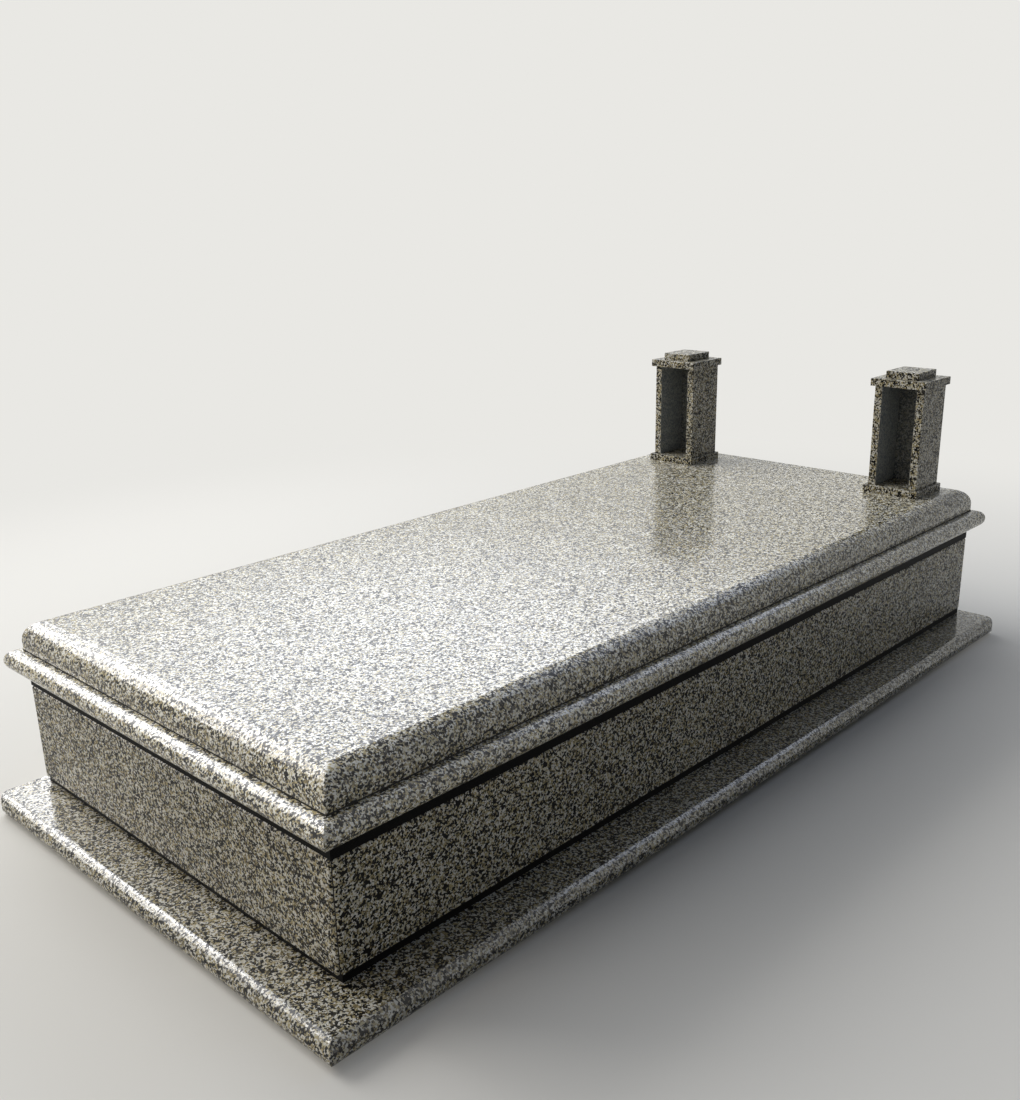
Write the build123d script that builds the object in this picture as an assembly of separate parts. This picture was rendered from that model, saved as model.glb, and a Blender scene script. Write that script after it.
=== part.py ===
"""Polished granite grave surround with two candle lanterns.

Millimetres, +Z up, the front (foot end) towards -Y.  Every course is worked out from the
outer face of the side walls; the whole is centred on its bounding box, underside at Z 0.
"""
import os

from build123d import *

# driving dimensions
WALL_W = 1295.0           # outer width of the wall box
WALL_L = 2870.0           # outer length of the wall box
WALL_H = 265.0
WALL_T = 50.0
WALL_ARRIS = 4.0          # eased top edge of the walls
WALL_CORNER = 9.0         # leg of the flat worked on each upright corner

KERB_T = 60.0             # kerb thickness, rounded over its full height outside
KERB_W = 180.0            # width of one kerb strip
KERB_OUT = 128.0          # kerb beyond the walls at the front and on the right
KERB_OUT_LEFT = 28.0      # kerb beyond the wall on the side of the neighbouring plot
KERB_OUT_REAR = 22.0
KERB_END_R = 35.0         # rounding in plan where a nose ends

STRIP_LOW_H = 20.0        # inset strip between kerbs and walls
STRIP_TOP_H = 40.0        # inset strip between walls and moulding
STRIP_INSET = 22.0
STRIP_W = 36.0

MOULD_T = 60.0            # moulding thickness, rounded over its full height
MOULD_OUT = 42.0          # moulding beyond the walls
MOULD_W = 180.0

SLAB_T = 80.0
SLAB_OUT = 3.0
SLAB_R = 54.0             # rounding of the upper edge of the slab

LAN_W = 200.0             # footprint of a lantern base
LAN_D = 188.0
LAN_BASE_T = 25.0
LAN_BODY_H = 350.0
LAN_TOP_T = 26.0
LAN_CAP_T = 25.0
LAN_CAP_W = 120.0
LAN_CAP_D = 134.0
LAN_T = 27.0              # side and back slabs of a lantern
LAN_SIDE_IN = 11.0        # base plate beyond the body at the sides
LAN_FRONT_IN = 16.0       # and at the front
LAN_REAR_IN = 8.0
LAN_CAP_R = 4.0
LAN_EDGE = 1.5
LAN_LEFT_FROM_LEFT = 100.0    # left lantern base from the left wall face
LAN_RIGHT_FROM_RIGHT = 83.0   # right lantern base from the right wall face
LAN_LEFT_FROM_REAR = 118.0    # base to the rear wall face
LAN_RIGHT_FROM_REAR = 76.0

# frame: outer box of the whole part, centred in X and Y
X_MIN = -max(MOULD_OUT, KERB_OUT_LEFT)
X_MAX = WALL_W + max(KERB_OUT, MOULD_OUT)
Y_MIN = -max(KERB_OUT, MOULD_OUT)
Y_MAX = WALL_L + max(MOULD_OUT, KERB_OUT_REAR)
WX0 = -(X_MIN + X_MAX) / 2          # outer face of the left wall
WX1 = WX0 + WALL_W                  # outer face of the right wall
WY0 = -(Y_MIN + Y_MAX) / 2          # outer face of the front wall
WY1 = WY0 + WALL_L                  # outer face of the rear wall

Z_KERB = KERB_T
Z_STRIP = Z_KERB + STRIP_LOW_H
Z_WALL = Z_STRIP + WALL_H
Z_BED = Z_WALL + STRIP_TOP_H
Z_MOULD = Z_BED + MOULD_T
Z_SLAB = Z_MOULD + SLAB_T


def block(x0, x1, y0, y1, z0, z1):
    """A plain box between its limits."""
    return Pos((x0 + x1) / 2, (y0 + y1) / 2, (z0 + z1) / 2) * Box(x1 - x0, y1 - y0, z1 - z0)


def profile_face(a, b, z0, z1, nose_a, nose_b, full):
    """Cross-section between a and b.  nose_a and nose_b are the roundings at its two ends;
    full means a round nose over the whole height, otherwise only the upper edge is rounded."""
    low_a = a + (nose_a if full else 0)
    low_b = b - (nose_b if full else 0)
    lines = [Line((low_a, z0), (low_b, z0))]
    for end, nose, sign in ((b, nose_b, -1), (a, nose_a, 1)):
        if not nose:
            part = [((end, z0), (end, z1))]
        elif full:
            part = [((end + sign * nose, z0), (end, (z0 + z1) / 2), (end + sign * nose, z1))]
        else:
            off = nose * (1 - 0.5 ** 0.5)
            part = [((end, z0), (end, z1 - nose)),
                    ((end, z1 - nose), (end + sign * off, z1 - off), (end + sign * nose, z1))]
        lines += [Line(*p) if len(p) == 2 else ThreePointArc(*p) for p in part]
    lines.append(Line((a + nose_a, z1), (b - nose_b, z1)))
    return make_face(Wire(lines))


def course(x0, x1, y0, y1, z0, z1, left, right, front, rear, full):
    """A slab with worked edges: the bar along X and the bar along Y, kept where they overlap,
    which gives mitred corners."""
    along_x = extrude(Plane.YZ.offset(x0) * profile_face(y0, y1, z0, z1, front, rear, full), x1 - x0)
    along_y = extrude(Plane.XZ.offset(-y1) * profile_face(x0, x1, z0, z1, left, right, full), y1 - y0)
    return along_x & along_y


def prism(points, z0, z1):
    """An upright prism on a plan outline."""
    face = make_face(Polyline(*points, close=True))
    return extrude(Pos(0, 0, z0) * face, z1 - z0)


def quarter(side, reach, depth, z0, z1):
    """The part of a course that belongs to one side, cut on the mitre lines through the
    corners of the wall box."""
    x0, x1, y0, y1 = WX0 - reach, WX1 + reach, WY0 - reach, WY1 + reach
    a0, a1, b0, b1 = WX0 + depth, WX1 - depth, WY0 + depth, WY1 - depth
    plan = {
        "front": [(x0, y0), (x1, y0), (a1, b0), (a0, b0)],
        "right": [(x1, y0), (x1, y1), (a1, b1), (a1, b0)],
        "rear": [(x1, y1), (x0, y1), (a0, b1), (a1, b1)],
        "left": [(x0, y1), (x0, y0), (a0, b0), (a0, b1)],
    }[side]
    return prism(plan, z0, z1)


SIDES = ("front", "right", "rear", "left")
nodes = {}

# kerbs: strips lying on the ground, the front one runs the full width
kx0, kx1 = WX0 - KERB_OUT_LEFT, WX1 + KERB_OUT
ky0, ky1 = WY0 - KERB_OUT, WY1 + KERB_OUT_REAR
nose = KERB_T / 2
bed = course(kx0, kx1, ky0, ky1, 0, Z_KERB, 0, nose, nose, 0, True)
outline = block(kx0, kx1, ky0, ky1, 0, Z_KERB)
upright = outline.edges().filter_by(Axis.Z)
nose_ends = upright.sort_by_distance((kx0, ky0, Z_KERB / 2))[:1] + upright.sort_by_distance((kx1, ky1, Z_KERB / 2))[:1]
bed = bed & fillet(nose_ends, KERB_END_R)
joint_y = ky0 + KERB_W
nodes["front_kerb"] = bed & block(kx0, kx1, ky0, joint_y, 0, Z_KERB)
nodes["right_kerb"] = bed & block(kx1 - KERB_W, kx1, joint_y, ky1, 0, Z_KERB)
nodes["left_kerb"] = bed & block(kx0, kx0 + KERB_W, joint_y, ky1, 0, Z_KERB)
nodes["rear_kerb"] = bed & block(kx0 + KERB_W, kx1 - KERB_W, ky1 - KERB_W, ky1, 0, Z_KERB)


def strips(z0, z1, name):
    """Four inset strips, the side ones between the front and the rear ones."""
    x0, x1 = WX0 + STRIP_INSET, WX1 - STRIP_INSET
    y0, y1 = WY0 + STRIP_INSET, WY1 - STRIP_INSET
    nodes["front_" + name] = block(x0, x1, y0, y0 + STRIP_W, z0, z1)
    nodes["rear_" + name] = block(x0, x1, y1 - STRIP_W, y1, z0, z1)
    nodes["right_" + name] = block(x1 - STRIP_W, x1, y0 + STRIP_W, y1 - STRIP_W, z0, z1)
    nodes["left_" + name] = block(x0, x0 + STRIP_W, y0 + STRIP_W, y1 - STRIP_W, z0, z1)


strips(Z_KERB, Z_STRIP, "lower_strip")

# walls: four slabs on edge, mitred, with eased upper arrises
shell = block(WX0, WX1, WY0, WY1, Z_STRIP, Z_WALL)
shell = chamfer(shell.edges().filter_by(Axis.Z), WALL_CORNER)
shell = chamfer(shell.faces().sort_by(Axis.Z)[-1].edges(), WALL_ARRIS)
for side in SIDES:
    nodes[side + "_wall"] = shell & quarter(side, 0, WALL_T, Z_STRIP, Z_WALL)

strips(Z_WALL, Z_BED, "upper_strip")

# moulding: full round nose on all four sides, mitred corners
nose = MOULD_T / 2
mould = course(WX0 - MOULD_OUT, WX1 + MOULD_OUT, WY0 - MOULD_OUT, WY1 + MOULD_OUT,
               Z_BED, Z_MOULD, nose, nose, nose, nose, True)
for side in SIDES:
    nodes[side + "_moulding"] = mould & quarter(side, MOULD_OUT, MOULD_W - MOULD_OUT, Z_BED, Z_MOULD)

# top slab
nodes["top_slab"] = course(WX0 - SLAB_OUT, WX1 + SLAB_OUT, WY0 - SLAB_OUT, WY1 + SLAB_OUT,
                           Z_MOULD, Z_SLAB, SLAB_R, SLAB_R, SLAB_R, SLAB_R, False)


def lantern(tag, x0, y1):
    """A candle box open to the front; x0 is the left side and y1 the rear of its base."""
    x1, y0 = x0 + LAN_W, y1 - LAN_D
    z0 = Z_SLAB
    z1 = z0 + LAN_BASE_T
    z2 = z1 + LAN_BODY_H
    z3 = z2 + LAN_TOP_T
    z4 = z3 + LAN_CAP_T
    base = block(x0, x1, y0, y1, z0, z1)
    base = chamfer(base.faces().sort_by(Axis.Z)[-1].edges(), LAN_EDGE)
    nodes[tag + "_lantern_base"] = base
    bx0, bx1 = x0 + LAN_SIDE_IN, x1 - LAN_SIDE_IN
    by0, by1 = y0 + LAN_FRONT_IN, y1 - LAN_REAR_IN
    nodes[tag + "_lantern_left_side"] = block(bx0, bx0 + LAN_T, by0, by1, z1, z2)
    nodes[tag + "_lantern_right_side"] = block(bx1 - LAN_T, bx1, by0, by1, z1, z2)
    nodes[tag + "_lantern_back"] = block(bx0 + LAN_T, bx1 - LAN_T, by1 - LAN_T, by1, z1, z2)
    top = block(x0, x1, y0, y1, z2, z3)
    top = chamfer(top.faces().sort_by(Axis.Z)[-1].edges(), LAN_EDGE)
    nodes[tag + "_lantern_top_plate"] = top
    cx, cy = (x0 + x1) / 2, (y0 + y1) / 2
    cap = block(cx - LAN_CAP_W / 2, cx + LAN_CAP_W / 2, cy - LAN_CAP_D / 2, cy + LAN_CAP_D / 2, z3, z4)
    cap = fillet(cap.edges().filter_by(Axis.Z), LAN_CAP_R)
    cap = chamfer(cap.faces().sort_by(Axis.Z)[-1].edges(), LAN_EDGE)
    nodes[tag + "_lantern_cap"] = cap


lantern("left", WX0 + LAN_LEFT_FROM_LEFT, WY1 - LAN_LEFT_FROM_REAR)
lantern("right", WX1 - LAN_RIGHT_FROM_RIGHT - LAN_W, WY1 - LAN_RIGHT_FROM_REAR)

os.makedirs("parts", exist_ok=True)
for name, solid in nodes.items():
    shape = solid if isinstance(solid, Solid) else solid.solids()[0]
    shape.label = name
    export_step(shape, os.path.join("parts", name + ".step"))
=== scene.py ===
"""Polished granite grave surround with two candle lanterns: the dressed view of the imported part."""
import math

import bmesh
import bpy
from mathutils import Matrix, Vector


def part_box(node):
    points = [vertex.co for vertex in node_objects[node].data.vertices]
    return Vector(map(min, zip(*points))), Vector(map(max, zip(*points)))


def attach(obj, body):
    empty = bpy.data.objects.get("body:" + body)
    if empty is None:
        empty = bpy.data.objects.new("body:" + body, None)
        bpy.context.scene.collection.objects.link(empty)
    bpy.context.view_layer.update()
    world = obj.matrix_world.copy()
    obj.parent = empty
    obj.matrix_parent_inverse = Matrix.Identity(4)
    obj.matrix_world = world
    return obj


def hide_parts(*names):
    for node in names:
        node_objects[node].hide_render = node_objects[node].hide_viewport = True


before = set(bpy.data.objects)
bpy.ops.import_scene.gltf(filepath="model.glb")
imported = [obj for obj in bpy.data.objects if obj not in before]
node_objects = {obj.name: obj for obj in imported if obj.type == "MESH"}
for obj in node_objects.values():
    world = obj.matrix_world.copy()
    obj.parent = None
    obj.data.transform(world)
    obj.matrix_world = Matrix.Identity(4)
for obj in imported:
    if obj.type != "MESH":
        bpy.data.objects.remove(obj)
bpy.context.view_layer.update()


# Kerbs
# Four strips of light grey granite, 60 mm thick, sawn, then polished on top and round the full
# nose.  They lie flat on the ground; the front one runs the whole width and the others butt to
# it, with a cement joint that shows as a pale line over the nose.
MM = 0.001
SIDES = ("front", "right", "rear", "left")
KERB_ROUGHNESS, KERB_TONE, KERB_SHINE = 0.10, 0.74, 0.62
KERB_ARRIS = 1.5 * MM
KERB_JOINT_WIDTH, KERB_JOINT_RECESS = 2.4 * MM, 0.35 * MM
NOSE_STEPS = 24
NOSE_ANGLES = [math.pi * (step / NOSE_STEPS - 0.5) for step in range(NOSE_STEPS + 1)]


def srgb(text):
    """A hex colour as linear red, green, blue and alpha."""
    parts = [int(text[i:i + 2], 16) / 255 for i in (1, 3, 5)]
    return [c / 12.92 if c <= 0.04045 else ((c + 0.055) / 1.055) ** 2.4 for c in parts] + [1.0]


def add_node(tree, kind, settings=None, links=None):
    """One node with its properties, input values and incoming links."""
    made = tree.nodes.new(kind)
    for key, value in (settings or {}).items():
        if isinstance(key, str) and hasattr(made, key):
            setattr(made, key, value)
        else:
            made.inputs[key].default_value = value
    for key, socket in (links or {}).items():
        tree.links.new(socket, made.inputs[key])
    return made


def fill_ramp(ramp_node, stops):
    """Sets the stops of a colour ramp, one even colour to a stretch, from (position, hex colour)."""
    ramp = ramp_node.color_ramp
    ramp.interpolation = "CONSTANT"
    while len(ramp.elements) > 1:
        ramp.elements.remove(ramp.elements[-1])
    for i, (place, value) in enumerate(stops):
        stop = ramp.elements[0] if i == 0 else ramp.elements.new(place)
        stop.position = place
        stop.color = srgb(value)


def new_material(name):
    """An empty node material and its tree."""
    material = bpy.data.materials.new(name)
    material.use_nodes = True
    material.node_tree.nodes.clear()
    return material, material.node_tree


def polished_granite(name, shift, roughness, sawn_inside=None, tone=1.0, shine=0.5):
    """Light grey granite, sawn and polished: cream and white feldspar, smoky quartz and black
    mica in grains of 3 to 6 mm, under a clear gloss.  shift moves the pattern in metres, so that
    each slab shows a grain of its own.  sawn_inside is a box (centre, half size, colour of dust
    and shade) in which the faces are left as sawn: matt, greyer, with the grain under stone dust,
    and at the back of a lantern painted darker as shade.  tone darkens a piece cut from a darker
    part of the block; the front wall's lower tone is painted shade on its face.  shine is 0.5 for
    a plain polish, more for a
    high one and less where the stone was only fine ground."""
    GRAIN, FINE_GRAIN, FINE_SHARE = 5.6 * MM, 3.6 * MM, 0.45
    BORDER_WAVE, BORDER_SHIFT = 4 * MM, 2.8 * MM
    FLAKE, FLAKE_GATHER, LEAST_MICA, MOST_MICA = 5.1 * MM, 16 * MM, 0.18, 0.41
    CLOUD, CLOUD_DARKER = 160 * MM, 0.84
    WIPE, WIPE_DULLER, MICA_DULLER, MICA_SHINE = 90 * MM, 0.08, 0.18, 0.5
    SAWN_ROUGHNESS, DUST_COVER = 0.75, 0.70
    PIT, PIT_DEPTH, PIT_STRENGTH = 2.5 * MM, 0.3 * MM, 0.06
    material, tree = new_material(name)
    place = add_node(tree, "ShaderNodeTexCoord")
    moved = add_node(tree, "ShaderNodeMapping", {"Location": shift},
                     {"Vector": place.outputs["Object"]})
    # grain borders wander, so that no cell keeps straight sides
    wander = add_node(tree, "ShaderNodeTexNoise", {"Scale": 1 / BORDER_WAVE, "Detail": 1.0},
                      {"Vector": moved.outputs[0]})
    centred = add_node(tree, "ShaderNodeVectorMath", {"operation": "SUBTRACT", 1: (0.5, 0.5, 0.5)},
                       {0: wander.outputs["Color"]})
    scaled = add_node(tree, "ShaderNodeVectorMath", {"operation": "SCALE", "Scale": BORDER_SHIFT},
                      {0: centred.outputs[0]})
    wavy = add_node(tree, "ShaderNodeVectorMath", {"operation": "ADD"},
                    {0: moved.outputs[0], 1: scaled.outputs[0]})
    # quartz, cream feldspar and white feldspar: one mineral to a cell, at two sizes
    grain = add_node(tree, "ShaderNodeTexVoronoi", {"Scale": 1 / GRAIN}, {"Vector": wavy.outputs[0]})
    grain_pick = add_node(tree, "ShaderNodeSeparateColor", {}, {"Color": grain.outputs["Color"]})
    mineral = add_node(tree, "ShaderNodeValToRGB", {}, {"Fac": grain_pick.outputs[0]})
    fill_ramp(mineral, [(0.0, "#3a3730"), (0.16, "#988a64"), (0.36, "#cdbd8e"), (0.55, "#efe9d3"),
                        (0.78, "#fffcf1")])
    fine = add_node(tree, "ShaderNodeTexVoronoi", {"Scale": 1 / FINE_GRAIN},
                    {"Vector": wavy.outputs[0]})
    fine_pick = add_node(tree, "ShaderNodeSeparateColor", {}, {"Color": fine.outputs["Color"]})
    fine_mineral = add_node(tree, "ShaderNodeValToRGB", {}, {"Fac": fine_pick.outputs[0]})
    fill_ramp(fine_mineral, [(0.0, "#24221e"), (0.24, "#8f8461"), (0.42, "#d6caa0"),
                             (0.66, "#fffdf3")])
    broken = add_node(tree, "ShaderNodeMath", {"operation": "LESS_THAN", 1: FINE_SHARE},
                      {0: fine_pick.outputs[2]})
    stone = add_node(tree, "ShaderNodeMix", {"data_type": "RGBA"},
                     {0: broken.outputs[0], 6: mineral.outputs[0], 7: fine_mineral.outputs[0]})
    # black mica in flakes, gathered here and there
    flake = add_node(tree, "ShaderNodeTexVoronoi", {"Scale": 1 / FLAKE}, {"Vector": wavy.outputs[0]})
    flake_pick = add_node(tree, "ShaderNodeSeparateColor", {}, {"Color": flake.outputs["Color"]})
    gather = add_node(tree, "ShaderNodeTexNoise", {"Scale": 1 / FLAKE_GATHER, "Detail": 1.0},
                      {"Vector": moved.outputs[0]})
    share = add_node(tree, "ShaderNodeMapRange",
                     {"From Min": 0.35, "From Max": 0.65, "To Min": LEAST_MICA, "To Max": MOST_MICA},
                     {"Value": gather.outputs[0]})
    mica = add_node(tree, "ShaderNodeMath", {"operation": "LESS_THAN"},
                    {0: flake_pick.outputs[1], 1: share.outputs[0]})
    flaked = add_node(tree, "ShaderNodeMix", {"data_type": "RGBA", 7: srgb("#0f0e0d")},
                      {0: mica.outputs[0], 6: stone.outputs[2]})
    # clouds a hand wide, where the block was a little paler or darker; the tone that scales them is,
    # on the front wall, painted shade
    cloud = add_node(tree, "ShaderNodeTexNoise", {"Scale": 1 / CLOUD, "Detail": 3.0},
                     {"Vector": moved.outputs[0]})
    cloud_tone_and_shade = add_node(tree, "ShaderNodeMapRange",
                          {"From Min": 0.3, "From Max": 0.7, "To Min": CLOUD_DARKER * tone,
                           "To Max": tone},
                          {"Value": cloud.outputs[0]})
    clouded = add_node(tree, "ShaderNodeVectorMath", {"operation": "SCALE"},
                       {0: flaked.outputs[2], "Scale": cloud_tone_and_shade.outputs[0]})
    # the gloss is wiped in patches, and mica takes it less well and mirrors less than feldspar
    wiped = add_node(tree, "ShaderNodeTexNoise", {"Scale": 1 / WIPE, "Detail": 4.0},
                     {"Vector": moved.outputs[0]})
    smear = add_node(tree, "ShaderNodeMapRange",
                     {"From Min": 0.4, "From Max": 0.7, "To Min": roughness,
                      "To Max": roughness + WIPE_DULLER},
                     {"Value": wiped.outputs[0]})
    gloss = add_node(tree, "ShaderNodeMath", {"operation": "MULTIPLY_ADD", 1: MICA_DULLER},
                     {0: mica.outputs[0], 2: smear.outputs[0]})
    mirror = add_node(tree, "ShaderNodeMath",
                      {"operation": "MULTIPLY_ADD", 1: (MICA_SHINE - 1) * shine, 2: shine},
                      {0: mica.outputs[0]})
    colour_out, gloss_out = clouded.outputs[0], gloss.outputs[0]
    if sawn_inside:
        # inside the box, along all three axes, the stone is dusty and matt
        centre, half, dust = sawn_inside
        from_centre = add_node(tree, "ShaderNodeVectorMath", {"operation": "SUBTRACT", 1: centre},
                               {0: place.outputs["Object"]})
        one_side = add_node(tree, "ShaderNodeVectorMath", {"operation": "ABSOLUTE"},
                            {0: from_centre.outputs[0]})
        past = add_node(tree, "ShaderNodeVectorMath", {"operation": "SUBTRACT", 1: half},
                        {0: one_side.outputs[0]})
        axes = add_node(tree, "ShaderNodeSeparateXYZ", {}, {0: past.outputs[0]})
        most_xy = add_node(tree, "ShaderNodeMath", {"operation": "MAXIMUM"},
                           {0: axes.outputs[0], 1: axes.outputs[1]})
        most = add_node(tree, "ShaderNodeMath", {"operation": "MAXIMUM"},
                        {0: most_xy.outputs[0], 1: axes.outputs[2]})
        inside = add_node(tree, "ShaderNodeMath", {"operation": "LESS_THAN", 1: 0.0},
                          {0: most.outputs[0]})
        # the dust colour covers the sawn faces; at the back of a lantern it is darker, painted shade
        dust_and_shade_cover = add_node(tree, "ShaderNodeMix", {"data_type": "RGBA", 0: DUST_COVER, 7: srgb(dust)},
                          {6: colour_out})
        chosen = add_node(tree, "ShaderNodeMix", {"data_type": "RGBA"},
                          {0: inside.outputs[0], 6: colour_out, 7: dust_and_shade_cover.outputs[2]})
        duller = add_node(tree, "ShaderNodeMath", {"operation": "MULTIPLY", 1: SAWN_ROUGHNESS},
                          {0: inside.outputs[0]})
        matt = add_node(tree, "ShaderNodeMath", {"operation": "MAXIMUM"},
                        {0: gloss_out, 1: duller.outputs[0]})
        colour_out, gloss_out = chosen.outputs[2], matt.outputs[0]
    pits = add_node(tree, "ShaderNodeTexNoise", {"Scale": 1 / PIT, "Detail": 2.0},
                    {"Vector": moved.outputs[0]})
    bump = add_node(tree, "ShaderNodeBump", {"Strength": PIT_STRENGTH, "Distance": PIT_DEPTH},
                    {"Height": pits.outputs[0]})
    shader = add_node(tree, "ShaderNodeBsdfPrincipled", {"IOR": 1.55},
                      {"Base Color": colour_out, "Roughness": gloss_out, "Normal": bump.outputs[0],
                       "Specular IOR Level": mirror.outputs[0]})
    add_node(tree, "ShaderNodeOutputMaterial", {}, {"Surface": shader.outputs[0]})
    return material


def dress(node_name, material, edge):
    """Gives a CAD piece its stone and eases its arrises by edge, in metres.  The facets of a
    round nose meet at less than the bevel's angle, so only true edges are eased; the weighted
    normals then keep the polish even along each nose, up to its mitre."""
    SAME_POINT, EDGE_ANGLE = 0.02 * MM, math.radians(10.5)
    piece = node_objects[node_name]
    piece.data.materials.clear()
    piece.data.materials.append(material)
    weld = piece.modifiers.new("join", "WELD")
    weld.merge_threshold = SAME_POINT
    bevel = piece.modifiers.new("arris", "BEVEL")
    bevel.width = edge
    bevel.segments = 2
    bevel.limit_method = "ANGLE"
    bevel.angle_limit = EDGE_ANGLE
    polish = piece.modifiers.new("polish", "WEIGHTED_NORMAL")
    polish.mode = "FACE_AREA_WITH_ANGLE"


def joint_cement(name, colour):
    """Joint cement, trowelled flush and wiped: matt, with sand grains of about half a millimetre,
    drawn at 1.5 mm so that they show."""
    SAND = 1.5 * MM
    material, tree = new_material(name)
    place = add_node(tree, "ShaderNodeTexCoord")
    sand = add_node(tree, "ShaderNodeTexNoise", {"Scale": 1 / SAND, "Detail": 2.0},
                    {"Vector": place.outputs["Object"]})
    shade = add_node(tree, "ShaderNodeMapRange",
                     {"From Min": 0.3, "From Max": 0.7, "To Min": 0.75, "To Max": 1.15},
                     {"Value": sand.outputs[0]})
    toned = add_node(tree, "ShaderNodeVectorMath", {"operation": "SCALE", 0: srgb(colour)[:3]},
                     {"Scale": shade.outputs[0]})
    shader = add_node(tree, "ShaderNodeBsdfPrincipled", {"Roughness": 0.85},
                      {"Base Color": toned.outputs[0]})
    add_node(tree, "ShaderNodeOutputMaterial", {}, {"Surface": shader.outputs[0]})
    return material


def long_piece(name, outline, across, material):
    """A piece of one section all along, such as the filler in a joint or a strip of stone.
    outline is the section at its middle, as a list of points, and across the vector from one
    end face to the other."""
    bm = bmesh.new()
    near = [bm.verts.new(Vector(p) - across / 2) for p in outline]
    far = [bm.verts.new(Vector(p) + across / 2) for p in outline]
    bm.faces.new(near)
    bm.faces.new(list(reversed(far)))
    for i in range(len(outline)):
        j = (i + 1) % len(outline)
        bm.faces.new((near[j], near[i], far[i], far[j]))
    bmesh.ops.recalc_face_normals(bm, faces=bm.faces)
    data = bpy.data.meshes.new(name)
    bm.to_mesh(data)
    bm.free()
    data.materials.append(material)
    piece = bpy.data.objects.new(name, data)
    bpy.context.scene.collection.objects.link(piece)
    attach(piece, "root")
    return piece


for i, side in enumerate(SIDES):
    stone = polished_granite("kerb_granite_" + side, (1.3 * i, 0.7 * i, 0.0), KERB_ROUGHNESS,
                             tone=KERB_TONE, shine=KERB_SHINE)
    dress(side + "_kerb", stone, KERB_ARRIS)

pale_cement = joint_cement("pale_joint_cement", "#b9b5aa")
for side in ("right", "left"):
    low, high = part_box(side + "_kerb")
    left_x, right_x = low.x + KERB_JOINT_RECESS, high.x - KERB_JOINT_RECESS
    bottom, top = low.z + KERB_JOINT_RECESS, high.z - KERB_JOINT_RECESS
    # only the right hand kerb ends in a nose
    if side == "right":
        radius, middle = (top - bottom) / 2, (top + bottom) / 2
        outer = [(right_x - radius + radius * math.cos(a), low.y, middle + radius * math.sin(a))
                 for a in NOSE_ANGLES]
    else:
        outer = [(right_x, low.y, bottom), (right_x, low.y, top)]
    outline = outer + [(left_x, low.y, top), (left_x, low.y, bottom)]
    across = Vector((0, KERB_JOINT_WIDTH, 0))
    long_piece(side + "_kerb_joint", outline, across, pale_cement)


# Strips
# Narrow strips of black granite under and over the walls, honed, not polished.  They are laid
# in mortar and stop just behind the wall faces: the lower ones show as a crisp black line, the
# upper ones as a wide dark band in the shadow of the moulding.
STRIP_BACK = {"lower": {"front": 8 * MM, "right": 3 * MM, "rear": 8 * MM, "left": 8 * MM},
              "upper": {"front": 2 * MM, "right": 2 * MM, "rear": 2 * MM, "left": 2 * MM}}
STRIP_EASE = 0.6 * MM


def honed_black_granite(name):
    """Near black fine-grained granite, honed: a faint grey grain under a dull sheen.  The grain
    is under a millimetre and is drawn at 1.8 mm so that it shows."""
    FINE_GRAIN = 1.8 * MM
    material, tree = new_material(name)
    place = add_node(tree, "ShaderNodeTexCoord")
    grain = add_node(tree, "ShaderNodeTexVoronoi", {"Scale": 1 / FINE_GRAIN},
                     {"Vector": place.outputs["Object"]})
    pick = add_node(tree, "ShaderNodeSeparateColor", {}, {"Color": grain.outputs["Color"]})
    colour = add_node(tree, "ShaderNodeValToRGB", {}, {"Fac": pick.outputs[0]})
    fill_ramp(colour, [(0.0, "#070707"), (0.6, "#0d0d0c"), (0.92, "#1d1c1a")])
    shader = add_node(tree, "ShaderNodeBsdfPrincipled",
                      {"Roughness": 0.5, "IOR": 1.54, "Specular IOR Level": 0.05},
                      {"Base Color": colour.outputs[0]})
    add_node(tree, "ShaderNodeOutputMaterial", {}, {"Surface": shader.outputs[0]})
    return material


strip_stone = honed_black_granite("strip_black_granite")
# the front wall's box ends half way over the flats on the corners, so the side walls give the width
wall_low, wall_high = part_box("front_wall")
wall_left, wall_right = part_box("left_wall")[0].x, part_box("right_wall")[1].x
wall_front, wall_rear = wall_low.y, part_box("rear_wall")[1].y
for level, back in STRIP_BACK.items():
    outer_left, outer_right = wall_left + back["left"], wall_right - back["right"]
    outer_front, outer_rear = wall_front + back["front"], wall_rear - back["rear"]
    for side in SIDES:
        name = f"{side}_{level}_strip"
        low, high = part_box(name)
        # the inner face stays where the solid has it, the outer one comes forward
        near, far = {"front": (outer_front, high.y), "rear": (low.y, outer_rear),
                     "left": (outer_left, high.x), "right": (low.x, outer_right)}[side]
        section = [(near + STRIP_EASE, low.z), (far - STRIP_EASE, low.z),
                   (far, low.z + STRIP_EASE), (far, high.z - STRIP_EASE),
                   (far - STRIP_EASE, high.z), (near + STRIP_EASE, high.z),
                   (near, high.z - STRIP_EASE), (near, low.z + STRIP_EASE)]
        if side in ("front", "rear"):
            outline = [((outer_left + outer_right) / 2, a, z) for a, z in section]
            across = Vector((outer_right - outer_left, 0, 0))
        else:
            outline = [(a, (low.y + high.y) / 2, z) for a, z in section]
            across = Vector((0, high.y - low.y, 0))
        bar = long_piece(name + "_bar", outline, across, strip_stone)
        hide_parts(name)


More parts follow.
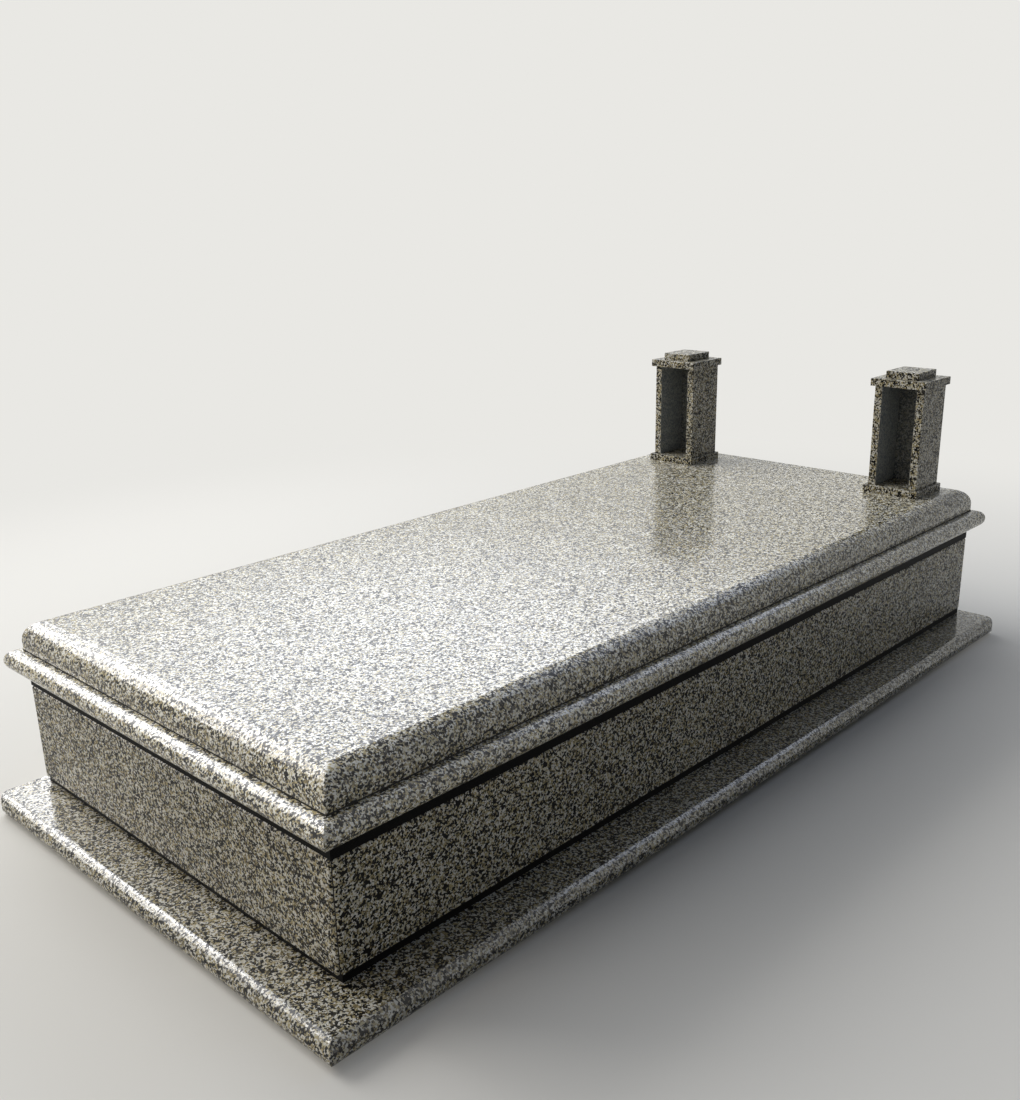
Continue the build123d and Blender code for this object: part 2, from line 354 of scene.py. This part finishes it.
# Walls
# Four granite slabs on edge, mitred and glued at the corners, with a flat worked on each upright
# corner and a small chamfer along the top.  Polished outside; the glue line is dark and shows
# down the middle of each flat.
WALL_ROUGHNESS, WALL_SHINE = 0.18, 0.20
# the front wall takes a darker tone than the other three: painted shade on the face that the lamps
# light most
WALL_TONE_AND_SHADE = {"front": 0.74, "right": 0.81, "rear": 0.81, "left": 0.81}
WALL_ARRIS, CORNER_LEG = 1.7 * MM, 9 * MM
GLUE_WIDTH, GLUE_DEPTH, GLUE_PROUD = 2.2 * MM, 12 * MM, 0.04 * MM
GLUE_FROM_BOTTOM, GLUE_FROM_TOP = 2 * MM, 5 * MM
for i, side in enumerate(SIDES):
    stone = polished_granite("wall_granite_" + side, (0.9 + 1.1 * i, 2.3, 0.4 * i), WALL_ROUGHNESS,
                             tone=WALL_TONE_AND_SHADE[side], shine=WALL_SHINE)
    dress(side + "_wall", stone, WALL_ARRIS)

# dark filler for the glued corners and the mitres; under the slab's edge the same filler paints the
# shade in the bedding gap
dark_filler_and_shade = joint_cement("dark_joint_filler_and_shade", "#1b1a18")
CORNERS = {"front_left": (wall_left, wall_front, -1, -1),
           "front_right": (wall_right, wall_front, 1, -1),
           "rear_right": (wall_right, wall_rear, 1, 1),
           "rear_left": (wall_left, wall_rear, -1, 1)}
# the flat's middle lies half a leg inside the sharp corner, along x and along y
glue_start = CORNER_LEG / 2 - GLUE_PROUD
glue_end = glue_start + GLUE_DEPTH
glue_bottom, glue_top = wall_low.z + GLUE_FROM_BOTTOM, wall_high.z - GLUE_FROM_TOP
for tag, (x, y, out_x, out_y) in CORNERS.items():
    outline = [(x - out_x * inward, y - out_y * inward, z)
               for inward, z in ((glue_start, glue_bottom), (glue_start, glue_top),
                                 (glue_end, glue_top), (glue_end, glue_bottom))]
    across = Vector((out_y, -out_x, 0)).normalized() * GLUE_WIDTH
    long_piece(tag + "_wall_joint", outline, across, dark_filler_and_shade)


# Moulding
# A course of granite with a full round nose, mitred at the corners, polished all round.  The
# mitres are filled with the same dark compound, a hair below the polish.
MOULDING_ROUGHNESS, MOULDING_SHINE = 0.12, 0.80
MOULDING_ARRIS = 0.9 * MM
MITRE_WIDTH, MITRE_DEPTH, MITRE_RECESS = 1.2 * MM, 60 * MM, 0.48 * MM
for i, side in enumerate(SIDES):
    stone = polished_granite("moulding_granite_" + side, (3.1, 1.7 * i, 1.0 + i),
                             MOULDING_ROUGHNESS, shine=MOULDING_SHINE)
    dress(side + "_moulding", stone, MOULDING_ARRIS)

mould_low, mould_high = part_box("front_moulding")
mould_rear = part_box("rear_moulding")[1].y
nose_radius = (mould_high.z - mould_low.z) / 2
nose_middle = (mould_low.z + mould_high.z) / 2
filler_radius = nose_radius - MITRE_RECESS
for tag, (x, y, out_x, out_y) in CORNERS.items():
    edge_x = mould_high.x if out_x > 0 else mould_low.x
    edge_y = mould_rear if out_y > 0 else mould_low.y
    inward = [nose_radius - filler_radius * math.cos(a) for a in NOSE_ANGLES]
    height = [nose_middle + filler_radius * math.sin(a) for a in NOSE_ANGLES]
    inward += [MITRE_DEPTH, MITRE_DEPTH]
    height += [nose_middle + filler_radius, nose_middle - filler_radius]
    outline = [(edge_x - out_x * a, edge_y - out_y * a, z) for a, z in zip(inward, height)]
    across = Vector((out_y, -out_x, 0)).normalized() * MITRE_WIDTH
    long_piece(tag + "_moulding_joint", outline, across, dark_filler_and_shade)


# Top slab
# One granite slab bedded on the moulding, its upper edge worked to a large round, mirror
# polished.  The bedding joint under its edge is filled with a bead of dark compound, which
# paints the shade in the gap between slab and moulding.
SLAB_ROUGHNESS, SLAB_TONE, SLAB_SHINE = 0.09, 0.93, 0.57
SLAB_ARRIS = 4.2 * MM
BEAD_BACK, BEAD_DEPTH, BEAD_BELOW, BEAD_ABOVE = 0.05 * MM, 8 * MM, 0.1 * MM, 4.0 * MM
slab_stone = polished_granite("slab_granite", (5.2, 4.1, 3.3), SLAB_ROUGHNESS, tone=SLAB_TONE,
                              shine=SLAB_SHINE)
dress("top_slab", slab_stone, SLAB_ARRIS)
slab_low, slab_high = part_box("top_slab")
bead_bottom, bead_top = slab_low.z - BEAD_BELOW, slab_low.z + BEAD_ABOVE
# a near-black bead under each slab edge: painted shade in the bedding gap
for side in SIDES:
    face, inward = {"front": (slab_low.y + BEAD_BACK, BEAD_DEPTH),
                    "right": (slab_high.x - BEAD_BACK, -BEAD_DEPTH),
                    "rear": (slab_high.y - BEAD_BACK, -BEAD_DEPTH),
                    "left": (slab_low.x + BEAD_BACK, BEAD_DEPTH)}[side]
    section = [(face, bead_bottom), (face, bead_top), (face + inward, bead_top),
               (face + inward, bead_bottom)]
    # the front and rear beads run the full width, the side ones fit between them
    if side in ("front", "rear"):
        outline = [((slab_low.x + slab_high.x) / 2, a, z) for a, z in section]
        across = Vector((slab_high.x - slab_low.x - 2 * BEAD_BACK, 0, 0))
    else:
        outline = [(a, (slab_low.y + slab_high.y) / 2, z) for a, z in section]
        across = Vector((0, slab_high.y - slab_low.y - 2 * (BEAD_BACK + BEAD_DEPTH), 0))
    long_piece(side + "_slab_bedding_shade", outline, across, dark_filler_and_shade)


# Lanterns
# Two candle boxes of granite plates glued together, open to the front.  The outside is
# polished and the inside left as sawn, under stone dust; the back inside takes a darker dust
# colour, which paints the shade at the back of the niche.
LANTERN_ROUGHNESS, LANTERN_TONE, LANTERN_SHINE = 0.20, 0.59, 0.20
LANTERN_ARRIS, NICHE_MARGIN = 0.8 * MM, 0.5 * MM
LANTERN_PARTS = ("base", "left_side", "right_side", "back", "top_plate", "cap")
# the back's dust colour is darker than the sides': painted shade deep in the niche
BACK_DUST_AND_SHADE, NICHE_DUST = "#5d6266", "#8f9497"
for i, tag in enumerate(("left", "right")):
    left_low, left_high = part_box(tag + "_lantern_left_side")
    right_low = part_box(tag + "_lantern_right_side")[0]
    back_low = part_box(tag + "_lantern_back")[0]
    margin = Vector((1, 1, 1)) * NICHE_MARGIN
    niche_low = Vector((left_high.x, left_low.y, left_low.z)) - margin
    niche_high = Vector((right_low.x, back_low.y, left_high.z)) + margin
    niche_centre, niche_half = (niche_low + niche_high) / 2, (niche_high - niche_low) / 2
    for j, part_name in enumerate(LANTERN_PARTS):
        name = f"{tag}_lantern_{part_name}"
        niche = (niche_centre, niche_half, BACK_DUST_AND_SHADE if part_name == "back" else NICHE_DUST)
        stone = polished_granite(name + "_granite", (7.3 + i, 0.4 + 0.3 * j, 6.1),
                                 LANTERN_ROUGHNESS, niche if part_name != "base" else None,
                                 tone=LANTERN_TONE, shine=LANTERN_SHINE)
        dress(name, stone, LANTERN_ARRIS)


# Studio
# A plain pale floor that melts into a pale background, and a row of soft lamps from the front
# left to the rear left and overhead: the round noses mirror the first two, the top the others.
# A weak one fills the front, and another behind draws a line on the right hand noses.
FLOOR_COLOUR, BACK_COLOUR, SKY_COLOUR, SKY_STRENGTH = "#d3d0c8", "#e9e8e4", "#dfe9fa", 0.10
FADE_FROM, FADE_TO, REACH = 0.8, 4.4, 40.0
floor_mesh = bpy.data.meshes.new("floor")
floor_corners = [(-REACH, -REACH, 0), (REACH, -REACH, 0), (REACH, REACH, 0), (-REACH, REACH, 0)]
floor_mesh.from_pydata(floor_corners, [], [(0, 1, 2, 3)])
floor = bpy.data.objects.new("floor", floor_mesh)
bpy.context.scene.collection.objects.link(floor)
floor_paint, floor_tree = new_material("floor_paint")
floor_place = add_node(floor_tree, "ShaderNodeTexCoord")
floor_far = add_node(floor_tree, "ShaderNodeVectorMath", {"operation": "LENGTH"},
                     {0: floor_place.outputs["Object"]})
floor_fade = add_node(floor_tree, "ShaderNodeMapRange",
                      {"interpolation_type": "SMOOTHSTEP", "From Min": FADE_FROM,
                       "From Max": FADE_TO},
                      {"Value": floor_far.outputs["Value"]})
floor_ray = add_node(floor_tree, "ShaderNodeLightPath")
floor_seen = add_node(floor_tree, "ShaderNodeMath", {"operation": "MAXIMUM"},
                      {0: floor_ray.outputs["Is Camera Ray"], 1: floor_ray.outputs["Is Glossy Ray"]})
floor_mix = add_node(floor_tree, "ShaderNodeMath", {"operation": "MULTIPLY"},
                     {0: floor_fade.outputs[0], 1: floor_seen.outputs[0]})
floor_matt = add_node(floor_tree, "ShaderNodeBsdfDiffuse", {"Color": srgb(FLOOR_COLOUR)})
floor_glow = add_node(floor_tree, "ShaderNodeEmission", {"Color": srgb(BACK_COLOUR)})
floor_surface = add_node(floor_tree, "ShaderNodeMixShader", {},
                         {0: floor_mix.outputs[0], 1: floor_matt.outputs[0],
                          2: floor_glow.outputs[0]})
add_node(floor_tree, "ShaderNodeOutputMaterial", {}, {"Surface": floor_surface.outputs[0]})
floor_mesh.materials.append(floor_paint)

world = bpy.data.worlds.new("studio")
bpy.context.scene.world = world
world.use_nodes = True
sky = world.node_tree
sky.nodes.clear()
ray = add_node(sky, "ShaderNodeLightPath")
lit = add_node(sky, "ShaderNodeBackground", {"Color": srgb(SKY_COLOUR), "Strength": SKY_STRENGTH})
seen = add_node(sky, "ShaderNodeBackground", {"Color": srgb(BACK_COLOUR), "Strength": 1.0})
in_view = add_node(sky, "ShaderNodeMath", {"operation": "MAXIMUM"},
                   {0: ray.outputs["Is Camera Ray"], 1: ray.outputs["Is Glossy Ray"]})
both = add_node(sky, "ShaderNodeMixShader", {},
                {0: in_view.outputs[0], 1: lit.outputs[0], 2: seen.outputs[0]})
add_node(sky, "ShaderNodeOutputWorld", {}, {"Surface": both.outputs[0]})


def softbox(name, at, aim, size, brightness, colour, soft_edge=False):
    """A rectangular area lamp at a place, turned to its aim.  brightness is its own, 1 for white;
    soft_edge lets it fade to nothing from near its middle to its border."""
    FADE_BEGINS, FADE_ENDS = 0.12, 0.5
    data = bpy.data.lights.new(name, "AREA")
    data.shape = "RECTANGLE"
    data.size, data.size_y = size
    data.energy = brightness * math.pi * size[0] * size[1]
    data.color = srgb(colour)[:3]
    if soft_edge:
        data.use_nodes = True
        tree = data.node_tree
        tree.nodes.clear()
        spot = add_node(tree, "ShaderNodeNewGeometry")
        off = add_node(tree, "ShaderNodeVectorMath", {"operation": "SUBTRACT", 1: (0.5, 0.5, 0.0)},
                       {0: spot.outputs["Parametric"]})
        far = add_node(tree, "ShaderNodeVectorMath", {"operation": "LENGTH"}, {0: off.outputs[0]})
        fade = add_node(tree, "ShaderNodeMapRange",
                        {"interpolation_type": "SMOOTHSTEP", "From Min": FADE_ENDS,
                         "From Max": FADE_BEGINS},
                        {"Value": far.outputs["Value"]})
        glow = add_node(tree, "ShaderNodeEmission", {}, {"Strength": fade.outputs[0]})
        add_node(tree, "ShaderNodeOutputLight", {}, {"Surface": glow.outputs[0]})
    lamp = bpy.data.objects.new(name, data)
    lamp.location = at
    lamp.rotation_euler = (Vector(aim) - Vector(at)).to_track_quat("-Z", "Y").to_euler()
    lamp.visible_camera = False
    bpy.context.scene.collection.objects.link(lamp)


softbox("key", (-8.1, -4.3, 5.6), (0, -1.4, 0.5), (5.8, 5.4), 6.1, "#fffdfb")
softbox("side_panel", (-7.5, -0.7, 5.4), (0, -1.4, 0.5), (5.8, 3.8), 4.0, "#fbfcff")
softbox("front", (-1.6, -7.8, 4.4), (0, -1.4, 0.3), (4.0, 4.0), 1.2, "#fff0dc")
softbox("overhead", (-4.4, 0.0, 6.8), (-0.2, 0.0, 0.4), (6.0, 7.0), 2.35, "#f4f8ff")
softbox("rear_panel", (-5.5, 3.8, 4.15), (0, -0.6, 0.5), (10.5, 4.6), 3.0, "#f0f5ff", True)
softbox("rear_right", (0.7, 6.4, 6.5), (0.5, -0.3, 0.5), (7.0, 3.5), 1.1, "#cbdcff")

# the picture is taken standing off the front right corner with a wide lens held a little low;
# place, turn and lens come from a fit to the straight edges of the real piece
IMAGE_W, IMAGE_H = 1020, 1100
FOCAL_PX = 1156.0
CENTRE_X, CENTRE_Y = 512.29, 583.46
YAW, PITCH, ROLL = 0.77298, 0.32272, 0.02403
CAMERA_AT = Vector((2.21706, -2.52671, 1.54741))
SENSOR_WIDTH, NEAREST, FARTHEST = 36.0, 0.05, 200.0
forward = Vector((-math.sin(YAW) * math.cos(PITCH), math.cos(YAW) * math.cos(PITCH),
                  -math.sin(PITCH)))
level_right = Vector((math.cos(YAW), math.sin(YAW), 0.0))
level_down = forward.cross(level_right)
right = math.cos(ROLL) * level_right + math.sin(ROLL) * level_down
down = -math.sin(ROLL) * level_right + math.cos(ROLL) * level_down
camera_data = bpy.data.cameras.new("camera")
camera_data.sensor_fit = "AUTO"
camera_data.sensor_width = SENSOR_WIDTH
camera_data.lens = SENSOR_WIDTH * FOCAL_PX / IMAGE_H
camera_data.shift_x = (IMAGE_W / 2 - CENTRE_X) / IMAGE_H
camera_data.shift_y = (CENTRE_Y - IMAGE_H / 2) / IMAGE_H
camera_data.clip_start = NEAREST
camera_data.clip_end = FARTHEST
camera = bpy.data.objects.new("camera", camera_data)
turn = Matrix((right, -down, -forward)).transposed().to_4x4()
camera.matrix_world = Matrix.Translation(CAMERA_AT) @ turn
bpy.context.scene.collection.objects.link(camera)
bpy.context.scene.camera = camera

bpy.context.scene.view_settings.view_transform = "Standard"
